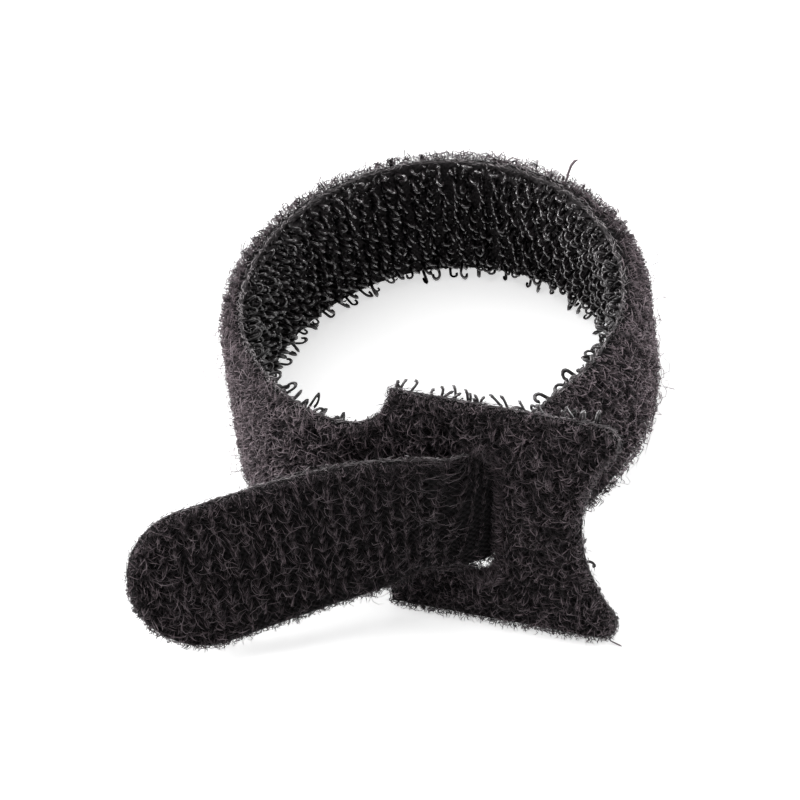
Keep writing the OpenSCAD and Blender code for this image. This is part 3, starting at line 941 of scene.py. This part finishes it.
def build_hooks(settings):
    """Every hook of the inner face, each a copy of one modelled hook, turned and stretched a little."""
    rng = np.random.RandomState(29)
    hook = model_hook(settings)
    points, face_sets = shape_of(hook)
    bpy.data.objects.remove(hook, do_unlink=True)
    u, v, row, _ = hook_places(settings, rng)
    n = len(u)
    inside = edge_distance(u, v)
    edge, on_tail = inside < 0.9, u > MARK["tail"] - 3
    head_top = (u < PLATE_L) & (v > 0) & edge
    facing = math.pi + np.where(row % 2 == 0, 0.3, 0.75)
    facing = facing + rng.normal(0, 1, n) * np.where(edge, 1.1, 0.38)
    lean_u = rng.normal(0.12, 0.2, n)
    # Hooks at the edge lean out over it, most along the head's upper edge
    lean_v = np.where(edge, np.sign(v) * rng.uniform(0.0, 0.55, n), 0.0)
    lean_v = np.where(edge & (v > 0) & (u > 50) & (u < 92), rng.uniform(0.1, 1.0, n), lean_v)
    lean_v = np.where(head_top, rng.uniform(0.5, 1.3, n), lean_v)
    lean_v = np.where(on_tail, 0.0, lean_v)
    # The tail's upper edge is nearly bare of hooks
    size = rng.uniform(0.75, 1.08, n) * np.where(edge, rng.uniform(0.75, 1.15, n), 1.0)
    size = np.where(on_tail & (v > 0) & (inside < 1.3), rng.uniform(0.3, 0.5, n), size)
    size = np.where(head_top, rng.uniform(0.3, 0.75, n), size)[:, None]
    facing = np.where(head_top, rng.uniform(-math.pi, math.pi, n), facing)[:, None]
    # In the flat cut, the hook's curl runs across the tape and its stem stands into the loop
    a, b, h = points[:, 0] * size, points[:, 1], points[:, 2] * size
    du = b * np.cos(facing) - a * np.sin(facing) + lean_u[:, None] * h
    dv = a * np.cos(facing) + b * np.sin(facing) + lean_v[:, None] * h
    place = ROUTE.place(u[:, None] + du, v[:, None] + dv, ground_z(u)[:, None] + 0.05 - h)
    keep = clear_of_cloth(place, u)
    keep &= ~head_top | (rng.uniform(0, 1, n) < np.where(u < 6, 0.7, 0.0))
    place, u = place[keep], u[keep]
    base = (np.arange(len(u)) * len(points))[:, None, None]
    faces = [(base + f).reshape(-1, f.shape[1]) for f in face_sets]
    # Painted shade on the stems, darkest at their roots, and painted light along the loop: least on its left
    # inner side, most at its back
    stem = np.clip(points[:, 2] / points[:, 2].max(), 0, 1) ** 1.7
    light = np.interp(u, [38, 46, 56, 62, 78, 88], [0.38, 0.46, 0.9, 1.4, 1.4, 1.0])
    shade = np.outer(rng.uniform(0.35, 1.0, len(u)) * light, 0.06 + 0.94 * stem).ravel()
    return new_piece("hooks", "hook filament", keep_above_floor(place).reshape(-1, 3), faces, shade)


def build_hook_stubs(settings):
    """The cut second leg of each hook's loop."""
    rng = np.random.RandomState(31)
    u, v, _, column = hook_places(settings, rng)
    side = np.where(column % 2 == 0, 1.0, -1.0)
    n = len(u)
    u, v = u + rng.normal(0, 0.1, n) + 0.25, v - side * 0.3 + rng.normal(0, 0.08, n)
    on = edge_distance(u, v) > 0.05
    u, v, side = u[on], v[on], side[on, None]
    n = len(u)
    k = np.linspace(0, 1, 4)
    tall = rng.uniform(0.45, 0.95, n)[:, None]
    lean = rng.normal(0, 0.22, (n, 1))
    across_it = v[:, None] + side * 0.35 * k**1.6 + lean * 0.3 * k
    paths = ROUTE.place(u[:, None] + lean * k, across_it, ground_z(u)[:, None] + 0.08 - tall * k)
    paths, u = only_clear(paths, u)
    shade = rng.uniform(0.2, 0.9, len(u))
    wire = settings.hook_wire / 2 / MM
    # Painted shade, darkest at each stub's root
    threads = thread_set(paths, u, wire, (1, 1, 1, 1), shade, (0.1, 0.3, 0.7, 1.0), sides=4)
    return thread_piece("hook_stubs", "hook filament", threads)


def build_hook_bed(settings):
    """Short ground threads that bridge from row to row between the hooks."""
    rng = np.random.RandomState(43)
    n = 9000
    u, v = rng.uniform(0, ROUTE.length, n), rng.uniform(-0.5, 0.5, n) * HEAD_W
    on = edge_distance(u, v) > 0.15
    u, v = u[on], v[on]
    n = len(u)
    angle = rng.normal(0, 0.7, n) + np.where(rng.uniform(0, 1, n) < 0.5, 0, math.pi / 2)
    reach = rng.uniform(0.35, 0.8, n)[:, None] * np.array([-0.5, 0, 0.5])
    rise = np.array([-0.1, 0, -0.1]) + rng.uniform(0.1, 0.55, n)[:, None]
    place = (u[:, None] + np.cos(angle)[:, None] * reach, v[:, None] + np.sin(angle)[:, None] * reach)
    paths, u = only_clear(ROUTE.place(*place, ground_z(u)[:, None] - rise), u)
    # Painted light along the loop: least on its left inner side, most at its back
    shade = rng.uniform(0.15, 1.3, len(u)) * np.interp(u, [38, 46, 58, 86, 92], [0.5, 0.5, 1.3, 1.3, 0.9])
    threads = thread_set(paths, u, settings.hook_wire * 0.32 / MM, (1, 1, 1), shade)
    return thread_piece("hook_bed", "hook filament", threads)


def build_head_hooks(settings):
    """Short bent hooks that look over the head's upper edge."""
    rng = np.random.RandomState(37)
    n = 24
    u = rng.uniform(1.2, HEAD_L + 0.3, n)
    tall = rng.uniform(0.4, 1.1, n)
    lean = rng.normal(0.0, 0.5, n)
    bend = rng.choice([-1.0, 1.0], n) * rng.uniform(0.12, 0.34, n)
    k = np.array([0, 0.25, 0.5, 0.72, 0.9, 1.0, 1.02, 0.9])
    off = np.array([0, 0, 0, 0.05, 0.2, 0.5, 0.85, 1.1])
    uu = u[:, None] + (lean * tall)[:, None] * k + bend[:, None] * off
    z = GROUND_Z - 0.1 - rng.uniform(0.0, 0.5, n)[:, None] * k
    paths = ROUTE.place(uu, HEAD_HALF - 0.25 + tall[:, None] * k, z)
    shade = rng.uniform(0.5, 1.0, n)
    wire = settings.hook_wire / 2 / MM * 0.85
    # Darker towards each hook's root: painted shade
    profile, painted_depth_shade = (1, 1, 1, 1, 1.1, 1.25, 1.3, 1.2), (0.1, 0.3, 0.5, 0.7, 1, 1, 1, 1)
    threads = thread_set(paths, u, wire, profile, shade, painted_depth_shade, sides=5)
    return thread_piece("head_hooks", "hook filament", threads)


def area_in(p):
    return abs(np.sum(p[:, 0] * np.roll(p[:, 1], -1) - p[:, 1] * np.roll(p[:, 0], -1))) / 2


def declare_cloth():
    """Works out the area of the tape's one die-cut sheet, less the slot, in square metres; the result is not
    used.
    """
    (area_in(blank_outline(0.1)) - area_in(slot_outline(0.1))) * MM * MM


class CableTieSettings(bpy.types.PropertyGroup):
    wale_pitch: FloatProperty(
        name="Wale Pitch", description="From one row of tufts to the next", default=0.0012, unit="LENGTH"
    )
    tuft_pitch: FloatProperty(
        name="Tuft Pitch", description="Distance between tufts in a row", default=0.00082, unit="LENGTH"
    )
    threads_per_tuft: IntProperty(
        name="Threads per Tuft", description="Pile threads in each tuft", default=15, min=1, max=20
    )
    thread_width: FloatProperty(
        name="Thread Width", description="Width of one pile thread", default=0.000074, unit="LENGTH"
    )
    stray_count: IntProperty(
        name="Strays", description="Hairs that stand proud of the pile", default=3800, min=0, max=8000
    )
    edge_threads: IntProperty(
        name="Edge Threads", description="Pale threads at each step along the edge", default=3, min=1, max=4
    )
    fringe_threads: IntProperty(
        name="Fringe Threads", description="Pile threads at each step along the edge", default=3, min=1, max=4
    )
    hook_height: FloatProperty(
        name="Hook Height", description="Height of a hook over its ground", default=0.0017, unit="LENGTH"
    )
    hook_wire: FloatProperty(
        name="Hook Wire", description="Thickness of the hooks' filament", default=0.00029, unit="LENGTH"
    )
    hook_row: FloatProperty(
        name="Hook Row", description="Distance between rows of hooks", default=0.0012, unit="LENGTH"
    )
    hook_pitch: FloatProperty(
        name="Hook Pitch", description="Distance between hooks in a row", default=0.0008, unit="LENGTH"
    )
    # Painted shade at the pile threads' roots
    root_painted_shade: FloatProperty(
        name="Root Fade", description="Share of a pile thread's shade at its root", default=0.06, min=0, max=1
    )
    pile_deep_colour: FloatVectorProperty(
        name="Pile Shadow", description="Darkest pile", default=(0.0045, 0.0036, 0.0042), subtype="COLOR"
    )
    pile_light_colour: FloatVectorProperty(
        name="Pile Light", description="Lightest pile", default=(0.27, 0.218, 0.238), subtype="COLOR"
    )
    ground_colour: FloatVectorProperty(
        name="Ground", description="Ground cloth's threads", default=(0.014, 0.012, 0.013), subtype="COLOR"
    )
    edge_colour: FloatVectorProperty(
        name="Edge", description="Cut edge", default=(0.36, 0.33, 0.34), subtype="COLOR"
    )
    hook_colour: FloatVectorProperty(
        name="Hooks", description="Lightest hook filament", default=(0.055, 0.044, 0.049), subtype="COLOR"
    )


class CABLETIE_OT_tape(bpy.types.Operator):
    """Cut the ground tape and bend it into the closed tie"""

    bl_idname = "cabletie.tape"
    bl_label = "Tape"

    def execute(self, context):
        build_tape(context.scene.cable_tie)
        return {"FINISHED"}


class CABLETIE_OT_pile(bpy.types.Operator):
    """Raise the brushed pile on the outer face"""

    bl_idname = "cabletie.pile"
    bl_label = "Pile"

    def execute(self, context):
        left, run, tail = MARK["loop"] + 4, MARK["run"], MARK["through"] - 2
        back = (MARK["loop"] + MARK["run"]) / 2
        # Name, from, to, order, density, skew, seed
        for stretch in (
            ("pile_head", 0.0, PLATE_L, 0.35, 1.2, 0.0, 11),
            ("pile_heel", PLATE_L, left, 0.3, 1.0, 0.0, 12),
            ("pile_loop_left", left, back, 0.45, 1.0, 0.0, 13),
            ("pile_loop_right", back, run, 0.45, 1.0, 0.0, 14),
            ("pile_run", run, tail, 0.4, 0.67, 0.0, 15),
            ("pile_tail", tail, ROUTE.length, 1.1, 1.2, 0.15, 16),
        ):
            build_pile(context.scene.cable_tie, *stretch)
        build_strays(context.scene.cable_tie)
        return {"FINISHED"}


class CABLETIE_OT_edge(bpy.types.Operator):
    """Lay the pale cut threads and the fringe along the edge"""

    bl_idname = "cabletie.edge"
    bl_label = "Edge"

    def execute(self, context):
        for build in (build_edge, build_edge_fringe, build_slot_fringe, build_loose_threads):
            build(context.scene.cable_tie)
        return {"FINISHED"}


class CABLETIE_OT_hooks(bpy.types.Operator):
    """Set the hooks, their cut stubs and ground threads on the inner face"""

    bl_idname = "cabletie.hooks"
    bl_label = "Hooks"

    def execute(self, context):
        for build in (build_hooks, build_hook_stubs, build_hook_bed, build_head_hooks):
            build(context.scene.cable_tie)
        declare_cloth()
        return {"FINISHED"}


def place_light(scene, name, place, aim, size, power):
    lamp = bpy.data.lights.new(name, "AREA")
    lamp.shape = "RECTANGLE"
    lamp.size, lamp.size_y = size
    lamp.energy = power
    obj = bpy.data.objects.new(name, lamp)
    scene.collection.objects.link(obj)
    obj.location = place
    obj.rotation_euler = (Vector(aim) - Vector(place)).to_track_quat("-Z", "Y").to_euler()


def place_camera(scene):
    """Camera at the photo's viewing angle: azimuth 0, looking down, with a slight roll."""
    camera = bpy.data.cameras.new("camera")
    camera.sensor_fit = "HORIZONTAL"
    camera.sensor_width = SENSOR
    camera.lens = FOCAL_PIXELS / PHOTO_PIXELS * SENSOR
    camera.clip_start = 0.01
    obj = bpy.data.objects.new("camera", camera)
    aim = Matrix.Translation((Vector(CAMERA_AIM) + Vector(ROUTE.shift)) * MM)
    tip = Matrix.Rotation(rad(90 - CAMERA_DOWN), 4, "X")
    away = Matrix.Translation((0, 0, CAMERA_AWAY * MM))
    obj.matrix_world = aim @ tip @ away @ Matrix.Rotation(rad(CAMERA_ROLL), 4, "Z")
    scene.collection.objects.link(obj)
    scene.camera = obj


def floor_material():
    """Pale floor that stays white to the eye and keeps the object's shadow."""
    mat = bpy.data.materials.new("studio floor")
    mat.use_nodes = True
    tree = mat.node_tree
    tree.nodes.clear()
    path = add_node(tree, "LightPath")
    seen = add_maths(tree, "MAXIMUM", path["Is Camera Ray"], path["Is Glossy Ray"])
    seen = add_maths(tree, "MAXIMUM", seen, path["Is Transmission Ray"])
    strength = add_maths(tree, "MULTIPLY", seen, 0.64)
    glow = add_node(tree, "Emission", {"Color": (1, 1, 1, 1), "Strength": strength})
    diffuse = add_node(tree, "BsdfDiffuse", {"Color": (0.8, 0.8, 0.8, 1)})
    both = add_node(tree, "AddShader", {0: diffuse[0], 1: glow[0]})
    add_node(tree, "OutputMaterial", {"Surface": both[0]})
    return mat


class CABLETIE_OT_stage(bpy.types.Operator):
    """Set the floor, the lights and the camera"""

    bl_idname = "cabletie.stage"
    bl_label = "Stage"

    def execute(self, context):
        scene = context.scene
        bpy.ops.object.select_all(action="DESELECT")
        bpy.ops.mesh.primitive_plane_add(size=3, location=(0, 0, 0))
        floor = context.active_object
        floor.name = "floor"
        floor.data.materials.append(floor_material())
        world = bpy.data.worlds.new("studio")
        world.use_nodes = True
        back = world.node_tree.nodes["Background"]
        back.inputs["Color"].default_value = (1, 1, 1, 1)
        back.inputs["Strength"].default_value = 0.15
        scene.world = world
        for light in LIGHTS:
            place_light(scene, *light)
        place_camera(scene)
        scene.view_settings.view_transform = "Standard"
        return {"FINISHED"}


class CABLETIE_PT_panel(bpy.types.Panel):
    bl_label = "Cable Tie"
    bl_idname = "CABLETIE_PT_panel"
    bl_space_type = "VIEW_3D"
    bl_region_type = "UI"
    bl_category = "Cable Tie"

    def draw(self, context):
        settings = context.scene.cable_tie
        for name in settings.__annotations__:
            self.layout.prop(settings, name)
        for operator in OPERATORS:
            self.layout.operator(operator.bl_idname)


OPERATORS = (CABLETIE_OT_stage, CABLETIE_OT_tape, CABLETIE_OT_pile, CABLETIE_OT_edge, CABLETIE_OT_hooks)
CLASSES = (CableTieSettings, *OPERATORS, CABLETIE_PT_panel)


def register():
    for cls in CLASSES:
        bpy.utils.register_class(cls)
    bpy.types.Scene.cable_tie = PointerProperty(type=CableTieSettings)


def unregister():
    del bpy.types.Scene.cable_tie
    for cls in reversed(CLASSES):
        bpy.utils.unregister_class(cls)


def main():
    register()
    bpy.ops.cabletie.stage()
    bpy.ops.cabletie.tape()
    bpy.ops.cabletie.pile()
    bpy.ops.cabletie.edge()
    bpy.ops.cabletie.hooks()


if __name__ == "__main__":
    main()
